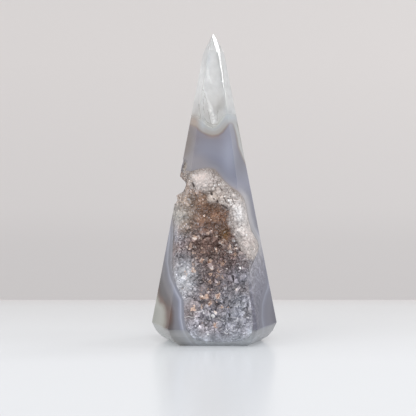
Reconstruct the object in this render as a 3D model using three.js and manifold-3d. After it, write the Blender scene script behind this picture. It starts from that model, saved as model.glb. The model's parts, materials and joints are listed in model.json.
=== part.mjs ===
// Polished agate tower with a natural druzy pocket on its front.
//
// The tower is a six-sided tapering point with a bevelled foot and a short six-sided tip.
// Its widest section, the girdle, is a little above the foot. A hollow that the stone had
// before it was cut is open on the front, wraps over the front-left edge and bites through
// the left ridge. A crust of quartz crystals lines it, ground flat wherever a crystal
// reached a polished face.
//
// Frame: +Z up, origin at the centre of the foot, -Y is the front.

import * as THREE from 'three';
import { ConvexGeometry } from 'three/addons/geometries/ConvexGeometry.js';
import { ImprovedNoise } from 'three/addons/math/ImprovedNoise.js';
import { mergeVertices } from 'three/addons/utils/BufferGeometryUtils.js';
import Module from 'manifold-3d';

// ---------- driving dimensions, millimetres and degrees ----------

const HEIGHT = 100;
const GIRDLE_Z = 5.6; // widest section, top of the foot bevel
const SHOULDER_Z = 94.4; // where the tip facets start
const APEX = [-0.3, 0];

// Each facet: compass direction of its outward normal, and its distance from the axis at
// the foot, at the girdle and at the shoulder. The first three face the front.
const FACETS = [
  { azimuth: -159.8, foot: 14.0, girdle: 18.86, shoulder: 2.91 }, // left front
  { azimuth: -91.2, foot: 11.0, girdle: 15.51, shoulder: 3.9 }, // front
  { azimuth: -23.7, foot: 14.1, girdle: 18.62, shoulder: 2.73 }, // right front
  { azimuth: 27.6, foot: 13.4, girdle: 17.77, shoulder: 2.09 }, // right back
  { azimuth: 90.0, foot: 11.3, girdle: 15.8, shoulder: 3.6 }, // back
  { azimuth: 152.7, foot: 13.6, girdle: 18.09, shoulder: 2.92 }, // left back
];
const FRONT_FACETS = FACETS.slice(0, 3);

// Mouth of the pocket, x and z on the front, anticlockwise from the right.
const MOUTH = [
  [11.8, 36.9], [10.8, 40.6], [10.1, 44.5], [9.2, 47.1], [7.2, 49.1], [4.6, 50.9],
  [2.2, 53.7], [0.2, 56.4], [-2.2, 57.0], [-5.0, 56.8], [-7.2, 55.9], [-10.4, 55.6],
  [-13.4, 52.5], [-14.4, 48.0], [-14.2, 43.6], [-13.2, 38.5], [-13.2, 34.5], [-13.4, 30.5],
  [-13.4, 26.5], [-12.9, 23.0], [-11.7, 19.0], [-10.8, 15.0], [-10.4, 10.8], [-9.9, 7.4],
  [-8.8, 4.6], [-7.0, 2.7], [-4.2, 1.9], [0.2, 1.7], [5.6, 1.7], [9.2, 2.2],
  [11.2, 3.8], [12.0, 6.4], [11.9, 10.0], [11.4, 14.0], [10.9, 18.0], [10.8, 21.6],
  [11.5, 25.0], [13.1, 27.8], [14.3, 30.4], [14.1, 32.6], [12.9, 34.6],
];
const MOUTH_SEGMENTS = 44;

const POCKET_CENTRE = new THREE.Vector2(0.6, 35.5); // x and z of the deepest place
const POCKET_DEPTH = 10.8; // from the front face to the crystal bed there
const POCKET_RINGS = 8;
const LIP = 0.74; // the shelf runs from this share of the mouth outwards
const LIP_WIDTH = 0.24; // share of the mouth over which the wall drops inside the lip
const SHELF_DROP = 1.1; // how far the shelf lies below the polished faces
const RIM_WIDTH = 0.12; // share of the mouth over which the bed drops to the shelf
const FRONT_REACH = -34; // y of the open end of the pocket's cutters

const GAP = 0.3; // between the crust and the stone behind it
const CRUST_RIM = 1.7; // crust thickness at the mouth
const CRUST_DEEP = 2.6; // crust thickness in the deepest place

// Bites out of the left ridge beside the pocket: through it, and two shallow scars.
const BITES = [
  { at: [-12.6, -0.6, 50.4], radii: [4.1, 9.5, 2.7], seed: 3 },
  { at: [-10.4, -3.2, 57.6], radii: [1.6, 3.4, 3.6], seed: 8 },
  { at: [-14.0, -0.6, 46.4], radii: [2.1, 3.6, 2.4], seed: 5 },
];
const BITE_ROUGHNESS = 0.32;

const CRYSTAL_TRIES = 1500;
const CRYSTAL_RADIUS = [1.2, 2.6];
const CRYSTAL_ROOT = 1.4; // how deep a crystal is rooted in the crust
const CRYSTAL_SPACING = 0.92; // share of the two radii that neighbours keep
const CRYSTAL_TILT = 0.9;
const CRYSTAL_SEED = 41;
const SMALLEST_FACET = 0.04; // smaller slivers left by the joins are merged away

// ---------- solids ----------

const wasm = await Module();
wasm.setup();

function toSolid(geometry) {
  const bare = geometry.clone();
  bare.deleteAttribute('normal');
  bare.deleteAttribute('uv');
  const merged = mergeVertices(bare, 1e-4);
  return new wasm.Manifold(new wasm.Mesh({
    numProp: 3,
    vertProperties: new Float32Array(merged.attributes.position.array),
    triVerts: new Uint32Array(merged.index.array),
  }));
}

function toGeometry(solid) {
  const mesh = solid.getMesh();
  const geometry = new THREE.BufferGeometry();
  geometry.setAttribute('position', new THREE.BufferAttribute(mesh.vertProperties, 3));
  geometry.setIndex(new THREE.BufferAttribute(mesh.triVerts, 1));
  geometry.computeVertexNormals();
  return geometry;
}

function largestBody(solid) {
  return solid.decompose().reduce((a, b) => (b.volume() > a.volume() ? b : a));
}

// ---------- the cut stone ----------

function facetNormal(facet) {
  const angle = THREE.MathUtils.degToRad(facet.azimuth);
  return new THREE.Vector2(Math.cos(angle), Math.sin(angle));
}

function facetDistance(facet, z) {
  if (z < GIRDLE_Z) {
    return THREE.MathUtils.mapLinear(z, 0, GIRDLE_Z, facet.foot, facet.girdle);
  }
  return THREE.MathUtils.mapLinear(z, GIRDLE_Z, SHOULDER_Z, facet.girdle, facet.shoulder);
}

// Corners of one level: neighbouring facets meet in the plan.
function cornersAt(z) {
  return FACETS.map((facet, i) => {
    const next = FACETS[(i + 1) % FACETS.length];
    const a = facetNormal(facet);
    const b = facetNormal(next);
    const reachA = facetDistance(facet, z);
    const reachB = facetDistance(next, z);
    const det = a.cross(b);
    const x = (reachA * b.y - reachB * a.y) / det;
    const y = (reachB * a.x - reachA * b.x) / det;
    return new THREE.Vector3(x, y, z);
  });
}

function buildTower() {
  const apex = new THREE.Vector3(APEX[0], APEX[1], HEIGHT);
  const levels = [0, GIRDLE_Z, SHOULDER_Z].flatMap(cornersAt);
  return toSolid(new ConvexGeometry([...levels, apex]));
}

// Front-most stone at x and z. Past the left ridge it carries on along the facet.
function frontFace(x, z) {
  return Math.max(...FRONT_FACETS.map((facet) => {
    const normal = facetNormal(facet);
    return (normal.x * x - facetDistance(facet, z)) / -normal.y;
  }));
}

// ---------- the pocket ----------

const noise = new ImprovedNoise();

const mouthCurve = new THREE.CatmullRomCurve3(
  MOUTH.map(([x, z]) => new THREE.Vector3(x, 0, z)), true, 'centripetal');
const mouth = mouthCurve.getSpacedPoints(MOUTH_SEGMENTS).slice(0, MOUTH_SEGMENTS)
  .map((point) => new THREE.Vector2(point.x, point.z).sub(POCKET_CENTRE));

// How far out a place lies: 0 at the pocket's centre, 1 at its mouth.
function mouthShare(x, z) {
  const place = new THREE.Vector2(x, z).sub(POCKET_CENTRE);
  for (let i = 0; i < mouth.length; i += 1) {
    const a = mouth[i];
    const b = mouth[(i + 1) % mouth.length];
    const det = a.cross(b);
    const alongA = place.cross(b) / det;
    const alongB = a.cross(place) / det;
    if (alongA >= 0 && alongB >= 0) return alongA + alongB;
  }
  return 0;
}

// 1 where the wall is steep (upper right), 0 where the floor ramps out to the foot.
function steepness(x, z) {
  const angle = Math.atan2(z - POCKET_CENTRE.y, x - POCKET_CENTRE.x);
  const degrees = THREE.MathUtils.radToDeg(angle);
  const towardsLeft = THREE.MathUtils.smoothstep(Math.abs(degrees), 105, 165);
  const upperRight = THREE.MathUtils.smoothstep(degrees, -35, 15)
    * (1 - THREE.MathUtils.smoothstep(degrees, 105, 165));
  return Math.max(upperRight, 0.35 * towardsLeft);
}

// Depth of the crystal bed below the front, at a share of the way out to the mouth.
function bedDepth(x, z, share) {
  const inward = Math.max(1 - share, 0);
  const shelf = SHELF_DROP * Math.min(inward / RIM_WIDTH, 1);
  const wall = THREE.MathUtils.smoothstep((LIP - share) / LIP_WIDTH, 0, 1);
  const floor = POCKET_DEPTH * (0.72 + 0.28 * inward);
  const steep = shelf + wall * (floor - SHELF_DROP);
  const ramp = POCKET_DEPTH * Math.pow(inward, 1.05);
  const lumps = 0.9 * noise.noise(x * 0.21, z * 0.21, 4.2) + 0.5 * noise.noise(x * 0.5, z * 0.5, 9.1);
  return THREE.MathUtils.lerp(ramp, steep, steepness(x, z))
    + lumps * THREE.MathUtils.smoothstep(inward, 0, 0.25);
}

// A round plug, turned on a lathe, whose rim is moved to the mouth and whose back is moved
// to the crystal bed. It is smaller than the mouth by inset, and deeper than the bed.
function pocketCutter(inset, deeperAtRim, deeperAtCentre) {
  const profile = [new THREE.Vector2(0, 1)];
  for (let ring = POCKET_RINGS - 1; ring >= 0; ring -= 1) {
    profile.push(new THREE.Vector2(1 - ring / POCKET_RINGS, 1));
  }
  profile.push(new THREE.Vector2(1, 0), new THREE.Vector2(0, 0));
  const plug = new THREE.LatheGeometry(profile, MOUTH_SEGMENTS);
  const position = plug.attributes.position;
  for (let i = 0; i < position.count; i += 1) {
    const turn = Math.atan2(position.getX(i), position.getZ(i)) / (2 * Math.PI);
    const share = Math.hypot(position.getX(i), position.getZ(i));
    const rim = mouth[(Math.round(turn * MOUTH_SEGMENTS) + MOUTH_SEGMENTS) % MOUTH_SEGMENTS];
    const place = rim.clone().setLength(rim.length() - inset).multiplyScalar(share).add(POCKET_CENTRE);
    const deeper = THREE.MathUtils.lerp(deeperAtCentre, deeperAtRim, share);
    const back = frontFace(place.x, place.y) + bedDepth(place.x, place.y, share) + deeper;
    const y = position.getY(i) > 0.5 ? back : FRONT_REACH;
    position.setXYZ(i, place.x, y, place.y);
  }
  return toSolid(plug);
}

// A lumpy ball that bites into the ridge.
function biteCutter(bite, grow) {
  const ball = new THREE.IcosahedronGeometry(1, 2);
  const position = ball.attributes.position;
  const point = new THREE.Vector3();
  const centre = new THREE.Vector3(...bite.at);
  const radii = new THREE.Vector3(...bite.radii);
  for (let i = 0; i < position.count; i += 1) {
    point.fromBufferAttribute(position, i);
    const swell = noise.noise(point.x * 1.9 + bite.seed, point.y * 1.9, point.z * 1.9);
    const reach = radii.clone().multiplyScalar(1 + BITE_ROUGHNESS * swell).addScalar(grow);
    point.multiply(reach).add(centre);
    position.setXYZ(i, point.x, point.y, point.z);
  }
  return toSolid(ball);
}

function biteInto(solid, grow) {
  return BITES.reduce((left, bite) => left.subtract(biteCutter(bite, grow)), solid);
}

// ---------- the crystals ----------

function randomFrom(seed) {
  let state = seed;
  return () => {
    state = (state * 1664525 + 1013904223) % 4294967296;
    return state / 4294967296;
  };
}

function bedPoint(x, z) {
  return new THREE.Vector3(x, frontFace(x, z) + bedDepth(x, z, mouthShare(x, z)), z);
}

// Direction out of the bed, with the steepest walls taken as less steep.
function bedNormal(x, z) {
  const step = 0.5;
  const slopeX = (bedPoint(x + step, z).y - bedPoint(x - step, z).y) / (2 * step);
  const slopeZ = (bedPoint(x, z + step).y - bedPoint(x, z - step).y) / (2 * step);
  const limit = 1.6;
  return new THREE.Vector3(
    THREE.MathUtils.clamp(slopeX, -limit, limit), -1,
    THREE.MathUtils.clamp(slopeZ, -limit, limit)).normalize();
}

// Quartz: a short six-sided prism under a six-sided point.
function crystalSolid(seat) {
  const prism = seat.radius * (0.15 + 0.55 * seat.length);
  const profile = [
    new THREE.Vector2(0, -CRYSTAL_ROOT),
    new THREE.Vector2(seat.radius * 0.92, -CRYSTAL_ROOT),
    new THREE.Vector2(seat.radius, prism),
    new THREE.Vector2(0, prism + seat.radius * 0.95),
  ];
  const geometry = new THREE.LatheGeometry(profile, 6);
  const lathe = new THREE.Vector3(0, 1, 0);
  geometry.scale(1, 1, 0.86 + 0.14 * seat.length);
  geometry.rotateY(seat.spin);
  geometry.applyQuaternion(new THREE.Quaternion().setFromUnitVectors(lathe, seat.direction));
  geometry.translate(seat.at.x, seat.at.y, seat.at.z);
  return toSolid(geometry);
}

// Crystals are seated at random on the bed, each clear of those before it.
function seatCrystals() {
  const random = randomFrom(CRYSTAL_SEED);
  const seats = [];
  const box = new THREE.Box2().setFromPoints(mouth).translate(POCKET_CENTRE);
  for (let i = 0; i < CRYSTAL_TRIES; i += 1) {
    const x = THREE.MathUtils.lerp(box.min.x, box.max.x, random());
    const z = THREE.MathUtils.lerp(box.min.y, box.max.y, random());
    const radius = THREE.MathUtils.lerp(...CRYSTAL_RADIUS, Math.pow(random(), 1.6));
    const at = bedPoint(x, z);
    const crowded = seats.some((seat) => (
      seat.at.distanceTo(at) < CRYSTAL_SPACING * (seat.radius + radius)));
    if (crowded || mouthShare(x, z) > 0.99) continue;
    const tilt = new THREE.Vector3(random() - 0.5, random() - 0.5, random() - 0.5);
    const direction = bedNormal(x, z).addScaledVector(tilt, CRYSTAL_TILT).normalize();
    seats.push({ at, radius, direction, spin: random() * Math.PI, length: random() });
  }
  return seats;
}

// ---------- the two pieces ----------

const tower = buildTower();

function buildStone() {
  const clearance = GAP + 0.2;
  const cutter = pocketCutter(0, CRUST_RIM + clearance, CRUST_DEEP + clearance);
  return largestBody(biteInto(tower.subtract(cutter), 0));
}

function buildCrust() {
  const filling = pocketCutter(GAP + 0.1, CRUST_RIM, CRUST_DEEP).intersect(tower);
  const crystals = wasm.Manifold.union(seatCrystals().map(crystalSolid));
  const hollow = pocketCutter(0, 0, 0).subtract(crystals);
  return largestBody(biteInto(filling.subtract(hollow), GAP)).simplify(SMALLEST_FACET);
}

const agate = new THREE.MeshStandardMaterial({ color: 0x9c9db0, roughness: 0.12, metalness: 0 });
const druzy = new THREE.MeshStandardMaterial({ color: 0xa79c97, roughness: 0.3, metalness: 0 });

const druzyAgateTower = new THREE.Group();

const agateTower = new THREE.Mesh(toGeometry(buildStone()), agate);
agateTower.name = 'agate_tower';
druzyAgateTower.add(agateTower);

const druzyCrust = new THREE.Mesh(toGeometry(buildCrust()), druzy);
druzyCrust.name = 'druzy_crust';
druzyAgateTower.add(druzyCrust);

export default druzyAgateTower;
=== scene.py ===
"""Polished agate tower with a druzy pocket: stone, crystals, clear tip and its flaws.

Lengths are in millimetres until a mesh is made. -Y is the front, +Z is up.
"""

import json
import math
from functools import reduce

import bmesh
import bpy
import numpy as np
from mathutils import Matrix, Vector, noise

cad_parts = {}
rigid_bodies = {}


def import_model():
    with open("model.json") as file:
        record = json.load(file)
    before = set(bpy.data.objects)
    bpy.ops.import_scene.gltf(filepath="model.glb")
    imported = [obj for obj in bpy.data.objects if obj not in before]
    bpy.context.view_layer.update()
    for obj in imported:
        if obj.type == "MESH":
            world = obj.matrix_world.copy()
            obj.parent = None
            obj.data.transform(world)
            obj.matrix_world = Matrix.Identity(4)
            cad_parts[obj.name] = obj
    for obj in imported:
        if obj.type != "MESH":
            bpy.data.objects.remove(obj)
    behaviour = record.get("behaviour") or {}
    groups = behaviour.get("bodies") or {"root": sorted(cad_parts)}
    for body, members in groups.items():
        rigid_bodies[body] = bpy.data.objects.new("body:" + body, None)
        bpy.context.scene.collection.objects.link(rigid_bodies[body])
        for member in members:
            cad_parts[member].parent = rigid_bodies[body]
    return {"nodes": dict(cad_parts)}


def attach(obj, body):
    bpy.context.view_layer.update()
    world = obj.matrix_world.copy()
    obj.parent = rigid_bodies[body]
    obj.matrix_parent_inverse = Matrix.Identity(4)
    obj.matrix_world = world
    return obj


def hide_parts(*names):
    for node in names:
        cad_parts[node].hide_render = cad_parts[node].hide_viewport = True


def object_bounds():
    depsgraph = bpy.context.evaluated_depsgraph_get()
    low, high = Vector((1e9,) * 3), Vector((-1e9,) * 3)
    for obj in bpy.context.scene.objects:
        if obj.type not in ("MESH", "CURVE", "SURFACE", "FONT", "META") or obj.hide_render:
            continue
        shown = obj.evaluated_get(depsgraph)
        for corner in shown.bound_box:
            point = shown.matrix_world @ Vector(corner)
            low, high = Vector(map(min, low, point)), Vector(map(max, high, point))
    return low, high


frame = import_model()
cad_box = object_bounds()
scene = bpy.context.scene

MM = 0.001  # metres in a millimetre

# ---------- camera ----------

FRAME_PIXELS = 416
FOCAL_PIXELS = 1252
SENSOR = 36
CAMERA_PLACE = (-2.05, -407.2, 65.0)
CAMERA_PITCH = 0.053  # radians below the horizon

lens = bpy.data.cameras.new("camera")
lens.sensor_width = SENSOR
lens.lens = SENSOR * FOCAL_PIXELS / FRAME_PIXELS
lens.clip_start = 0.01
lens.clip_end = 20
camera = bpy.data.objects.new("camera", lens)
camera.location = Vector(CAMERA_PLACE) * MM
camera.rotation_euler = (math.pi / 2 - CAMERA_PITCH, 0, 0)
scene.collection.objects.link(camera)
scene.camera = camera

# ---------- the pocket, much as in the solid ----------

# Its mouth, up to a millimetre from the solid's. Points are x and z.
MOUTH = [
    (11.8, 36.9), (10.8, 40.6), (10.1, 44.5), (9.2, 47.1), (7.2, 49.1), (4.6, 50.9),
    (2.2, 53.4), (0.2, 55.8), (-2.2, 56.4), (-5.0, 56.3), (-7.2, 55.6), (-10.4, 55.6),
    (-13.4, 52.5), (-14.4, 48.0), (-14.2, 43.6), (-13.2, 38.5), (-13.2, 34.5), (-13.4, 30.5),
    (-13.4, 26.5), (-12.9, 23.0), (-11.9, 19.4), (-9.9, 15.0), (-9.6, 10.8), (-9.3, 7.4),
    (-8.1, 4.6), (-6.5, 2.7), (-4.2, 1.9), (0.2, 1.7), (5.6, 1.7), (9.2, 2.2),
    (11.2, 3.8), (12.0, 6.4), (11.9, 10.0), (11.4, 14.0), (10.9, 18.0), (10.8, 21.6),
    (11.5, 25.0), (13.1, 27.8), (14.3, 30.4), (14.1, 32.6), (12.9, 34.6),
]
POCKET_CENTRE = np.array((0.6, 35.5))
POCKET_DEPTH = 10.8
LIP = 0.74  # share of the way out to the mouth at which the steep wall ends
LIP_WIDTH = 0.34  # share of the way that the wall takes up
SHELF_DROP = 1.1  # from the front to the shelf behind the rim
RIM_WIDTH = 0.12  # share of the way that the rim takes up
CRUST_RIM = 1.7  # thickness of the crust at the rim, and at the centre
CRUST_DEEP = 2.6
BED_INSET = 0.15  # from the mouth to the outermost crystals' feet
SHELL_INSET = 0.05  # from the mouth, and from a chip, to the crust
CLEARANCE = 0.1  # between the crust's back and the stone
FRONT_REACH = -34  # in front of the stone, where the cutter ends
# Chips along the left edge: middle, radii and seed.
BITES = [
    {"at": (-12.6, -0.6, 50.4), "radii": (4.7, 9.5, 2.9), "seed": 3},
    {"at": (-10.4, -3.2, 57.6), "radii": (1.6, 3.4, 3.6), "seed": 8},
    {"at": (-14.0, -0.6, 46.4), "radii": (2.1, 3.6, 2.4), "seed": 5},
]
BITE_ROUGHNESS = 0.32  # share of its radii by which a chip's surface swells and dips

# ---------- patterns in the stone, x and z in millimetres ----------

# Edge of the coarse quartz round the pocket. Outside it the chalcedony bands begin.
QUARTZ_EDGE = [
    (-7.3, 55.0), (-5.0, 56.2), (-2.2, 56.6), (0.2, 56.0), (2.2, 53.6), (4.8, 51.0),
    (7.6, 49.0), (9.4, 47.0), (10.3, 44.6), (11.0, 40.6), (12.0, 36.9), (13.3, 34.4),
    (14.9, 31.8), (15.8, 28.0), (16.4, 24.0), (16.9, 20.4), (16.6, 18.0), (15.3, 15.6),
    (14.5, 12.6), (14.3, 9.0), (14.6, 6.2), (14.3, 2.7), (12.6, 0.4), (11.2, -1.5),
    (8.0, -3.0), (0.2, -3.0), (-3.4, -2.5), (-4.8, -0.5), (-6.8, 2.2), (-8.9, 5.8),
    (-9.7, 9.4), (-9.7, 15.0), (-11.8, 19.0), (-13.4, 22.4), (-14.3, 26.0), (-14.2, 29.7),
    (-13.7, 35.0), (-13.6, 40.0), (-14.6, 44.0), (-14.0, 50.0), (-10.8, 55.0),
]
# Lower edge of the clear quartz cap: a hanging arch, then down the right-hand face.
CAP_EDGE = [
    (-40, 72), (-9.6, 71.2), (-6.2, 70.0), (-4.6, 68.4), (-2.7, 67.3), (-0.8, 66.8),
    (1.1, 67.1), (2.7, 68.2), (4.0, 69.9), (4.9, 71.0), (5.9, 71.0), (6.5, 69.4),
    (7.1, 67.1), (7.7, 63.9), (8.5, 61.6), (9.7, 59.0), (10.6, 57.4), (40, 40), (40, 140),
    (-40, 140),
]
# Pale lobe on the lower left, with rust along its edge.
LOBE_EDGE = [
    (-19.5, 19.5), (-18.7, 17.0), (-18.0, 14.4), (-17.0, 13.4), (-15.8, 12.6), (-15.0, 10.9),
    (-15.0, 8.0), (-15.8, 5.6), (-14.8, 3.4), (-12.6, 1.6), (-10.5, 0.0), (-9.0, -3.0),
    (-60, -3.0), (-60, 24.0), (-30, 22.0),
]
# The frosted part of the rim: its inner edge, then round outside the mouth.
FROSTED_RIM = [
    (-8.4, 52.6), (-7.3, 50.6), (-5.9, 49.6), (-2.0, 48.6), (-1.6, 45.8), (1.3, 45.3),
    (2.6, 44.4), (4.2, 43.2), (4.9, 41.4), (4.4, 39.4), (5.4, 36.2), (6.9, 33.6), (9.1, 30.5),
    (10.6, 28.4), (13.0, 26.5), (20, 28), (20, 62), (-8.4, 62),
]
# Crystals low in the pocket whose growth rings show: middle and radius.
ROSETTES = [
    ((-4.5, 9.9), 1.4), ((-5.4, 5.0), 2.2), ((2.0, 6.7), 1.9), ((6.4, 4.6), 1.7),
    ((9.3, 6.0), 1.4), ((0.5, 17.4), 1.7), ((8.0, 12.0), 1.9), ((12.9, 23.4), 1.7),
]
# Bright cracks across the lower crystals: ends and half width.
CRACKS = [
    ((-9.4, 9.8), (-6.1, 9.7), 0.14), ((-6.2, 11.4), (-3.0, 11.5), 0.16),
    ((-2.2, 12.6), (-1.4, 9.0), 0.14), ((1.0, 9.4), (3.4, 8.2), 0.12),
    ((5.2, 9.6), (8.6, 8.9), 0.12),
]
# Painted highlights: white spots where single faces catch the light, by middle and radius.
GLINTS = [
    ((-0.5, 10.0), 0.75), ((-2.1, 4.3), 0.35), ((8.2, 24.9), 0.45), ((-3.4, 10.9), 0.3),
    ((4.6, 46.4), 0.45), ((5.4, 45.0), 0.35), ((5.0, 45.7), 0.35), ((0.0, 51.0), 0.3),
    ((1.4, 51.2), 0.25), ((3.3, 47.6), 0.25), ((6.9, 43.8), 0.25), ((10.2, 35.4), 0.3),
]
# Pits in the rim of the pocket, painted as dark spots of shade: middle and radius.
PIT_SHADOWS = [
    ((-0.9, 48.3), 0.5), ((-0.2, 46.8), 0.35), ((0.9, 46.0), 0.4), ((4.3, 47.0), 0.3),
]
# Painted shadow in the gaps between the lumps of the rim: ends and half width.
CLEFT_SHADOWS = [
    ((-7.0, 51.8), (-6.5, 50.6), 0.34), ((2.2, 44.9), (4.2, 43.6), 0.26),
    ((3.0, 47.2), (3.7, 45.8), 0.22), ((5.6, 46.9), (6.2, 45.4), 0.14),
]
# Healed fractures in the tip: ends and half width.
VEILS = [
    ((-4.3, 84.2), (-2.9, 80.6), 0.3), ((-2.9, 80.6), (-1.5, 76.6), 0.25),
    ((-1.4, 76.2), (-0.7, 73.6), 0.6), ((-0.7, 73.6), (0.0, 71.0), 0.8),
    ((3.5, 80.6), (3.9, 76.9), 0.3), ((-2.4, 88.0), (-1.0, 84.0), 0.5),
]
SEAMS = [
    ((-3.6, 78.5), (-3.4, 74.0), 0.12), ((1.0, 75.0), (0.9, 71.8), 0.12),
    ((-5.0, 77.0), (-4.5, 72.5), 0.12), ((-2.1, 75.0), (-1.1, 70.6), 0.14),
    ((-3.2, 72.2), (-2.2, 71.1), 0.14), ((-2.2, 71.1), (-0.6, 70.4), 0.2),
    ((-0.6, 70.4), (0.9, 70.6), 0.18), ((-0.9, 73.0), (0.2, 73.2), 0.08),
    ((-0.7, 72.0), (0.5, 72.2), 0.08), ((-3.6, 81.6), (-2.2, 77.2), 0.10),
]


# ---------- small tools ----------

WHITE = (1, 1, 1, 1)


def colour(code):
    """sRGB hex to the linear colour that a shader socket takes."""
    channels = [int(code[i:i + 2], 16) / 255 for i in (1, 3, 5)]
    linear = [c / 12.92 if c <= 0.04045 else ((c + 0.055) / 1.055) ** 2.4 for c in channels]
    return (*linear, 1.0)


def add(tree, kind, inputs=(), stops=(), out=0, **settings):
    """Adds one node and gives one of its outputs.

    inputs are values or sockets, in order or by name. stops fill a ramp.
    """
    made = tree.nodes.new(kind if "Node" in kind else "ShaderNode" + kind)
    for name, value in settings.items():
        setattr(made, name, value)
    for name, value in (inputs if isinstance(inputs, dict) else dict(enumerate(inputs))).items():
        if isinstance(value, bpy.types.NodeSocket):
            tree.links.new(value, made.inputs[name])
        else:
            coded = str(value).startswith("#")
            made.inputs[name].default_value = colour(value) if coded else value
    if stops:
        elements = made.color_ramp.elements
        while len(elements) < len(stops):
            elements.new(0.5)
        for element, (position, shade) in zip(elements, stops):
            element.position = position
            element.color = colour(shade) if isinstance(shade, str) else (shade, shade, shade, 1)
    return made.outputs[out] if made.outputs else None


def new_object(name, mesh):
    made = bpy.data.objects.new(name, mesh)
    scene.collection.objects.link(made)
    return made


def mesh_from(name, points, faces, closed=True):
    """A mesh, still in millimetres. A closed one is turned outward."""
    mesh = bpy.data.meshes.new(name)
    mesh.from_pydata(np.asarray(points).tolist(), [], faces)
    mesh.validate()
    if closed:
        whole = bmesh.new()
        whole.from_mesh(mesh)
        bmesh.ops.recalc_face_normals(whole, faces=whole.faces)
        whole.to_mesh(mesh)
        whole.free()
    return mesh


def ball(detail):
    """Points and faces of a ball of radius 1."""
    made = bmesh.new()
    bmesh.ops.create_icosphere(made, subdivisions=detail, radius=1)
    points = np.array([v.co for v in made.verts])
    faces = [tuple(v.index for v in f.verts) for f in made.faces]
    made.free()
    return points, faces


def evaluated(piece):
    """A piece's mesh with its modifiers applied."""
    depsgraph = bpy.context.evaluated_depsgraph_get()
    return bpy.data.meshes.new_from_object(piece.evaluated_get(depsgraph), depsgraph=depsgraph)


def points_of(mesh):
    flat = np.empty(len(mesh.vertices) * 3)
    mesh.vertices.foreach_get("co", flat)
    return flat.reshape(-1, 3)


def numbers_of(mesh, name):
    values = np.zeros(len(mesh.vertices))
    mesh.attributes[name].data.foreach_get("value", values)
    return values


def store(mesh, name, values, domain="POINT"):
    layer = mesh.attributes.new(name, "FLOAT", domain)
    layer.data.foreach_set("value", np.asarray(values, np.float32))


def to_metres(mesh):
    mesh.transform(Matrix.Scale(MM, 4))
    mesh.update()


def smoothstep(value, low, high):
    t = np.clip((np.asarray(value, float) - low) / (high - low), 0, 1)
    return t * t * (3 - 2 * t)


def noise_at(points, scale, offset=(0, 0, 0)):
    """Perlin noise, -1 to 1, at points in millimetres; scale is in cycles per millimetre."""
    shift = Vector(offset)
    return np.array([noise.noise(Vector(p) * scale + shift) for p in points])


def patches(x, z, *ovals):
    """Soft oval patches added up, each given by its strength, middle x and z, and radii."""
    return sum(
        strength * np.exp(-(((x - at_x) / wide) ** 2 + ((z - at_z) / tall) ** 2))
        for strength, at_x, at_z, wide, tall in ovals)


def edge_distance(x, z, outline):
    """Signed distance in the x, z plane to a closed outline, negative inside it."""
    place = np.stack([x, z], 1)
    corners = np.array(outline, float)
    nearest = np.full(len(place), 1e9)
    inside = np.zeros(len(place), bool)
    for a, b in zip(corners, np.roll(corners, -1, 0)):
        side = b - a
        along = np.clip(((place - a) @ side) / (side @ side), 0, 1)
        nearest = np.minimum(nearest, np.linalg.norm(place - a - along[:, None] * side, axis=1))
        crosses = (a[1] > place[:, 1]) != (b[1] > place[:, 1])
        with np.errstate(divide="ignore", invalid="ignore"):
            hit = a[0] + (place[:, 1] - a[1]) * (b[0] - a[0]) / (b[1] - a[1])
        inside ^= crosses & (place[:, 0] < hit)
    return np.where(inside, -nearest, nearest)


CURVE_STEPS = 12  # between two corners of an outline


def rounded_outline(corners, count):
    """Evenly spaced points on a closed centripetal Catmull-Rom curve through the corners."""
    corners = np.array(corners, float)
    dense = []
    for i in range(len(corners)):
        near = [corners[(i + k - 1) % len(corners)] for k in range(4)]
        steps = [math.sqrt(np.linalg.norm(b - a)) for a, b in zip(near, near[1:])]
        knots = np.concatenate([[0], np.cumsum(steps)])
        for t in np.linspace(knots[1], knots[2], CURVE_STEPS, endpoint=False):
            level = near
            for span, first in ((1, 0), (2, 0), (1, 1)):
                level = [
                    ((knots[k + span] - t) * a + (t - knots[k]) * b) / (knots[k + span] - knots[k])
                    for k, (a, b) in enumerate(zip(level, level[1:]), first)]
            dense.append(level[0])
    dense = np.array(dense + dense[:1])
    reach = np.concatenate([[0], np.cumsum(np.linalg.norm(np.diff(dense, axis=0), axis=1))])
    even = np.linspace(0, reach[-1], count, endpoint=False)
    return np.stack([np.interp(even, reach, dense[:, k]) for k in range(2)], 1)


# ---------- the cut stone's faces, read from the solid ----------

SMALLEST_FACE = 4  # in square millimetres; a smaller face spans a curve, and is no cut
UPRIGHT = 0.3  # the normal of a side face rises or falls by less than this
DOWNWARD = -0.9  # the normal of the underside falls by more than this
OUTSET = 0.25  # the finished sides stand this far outside the solid's
CHAMFER_TOP = 5.6  # height where the side faces give way to the chamfer
BOW_TILT = math.radians(16)
BOW_RISE = 0.68


def stone_faces():
    """Planes of the tower's flat faces, as normal and reach from the middle of the base."""
    hull = bmesh.new()
    for point in np.unique((points_of(frame["nodes"]["agate_tower"].data) / MM).round(3), axis=0):
        hull.verts.new(point)
    made = bmesh.ops.convex_hull(hull, input=hull.verts)
    bmesh.ops.delete(hull, geom=made["geom_interior"], context="VERTS")
    hull.normal_update()
    planes = {}
    for face in hull.faces:
        key = tuple(round(c, 1) for c in face.normal)
        normal, reach, area = planes.get(key, (np.zeros(3), 0, 0))
        here = face.calc_area()
        planes[key] = (
            normal + np.array(face.normal) * here,
            reach + face.normal.dot(face.calc_center_median()) * here, area + here)
    hull.free()
    return [
        (normal / np.linalg.norm(normal), reach / area)
        for normal, reach, area in planes.values() if area > SMALLEST_FACE]


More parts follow.
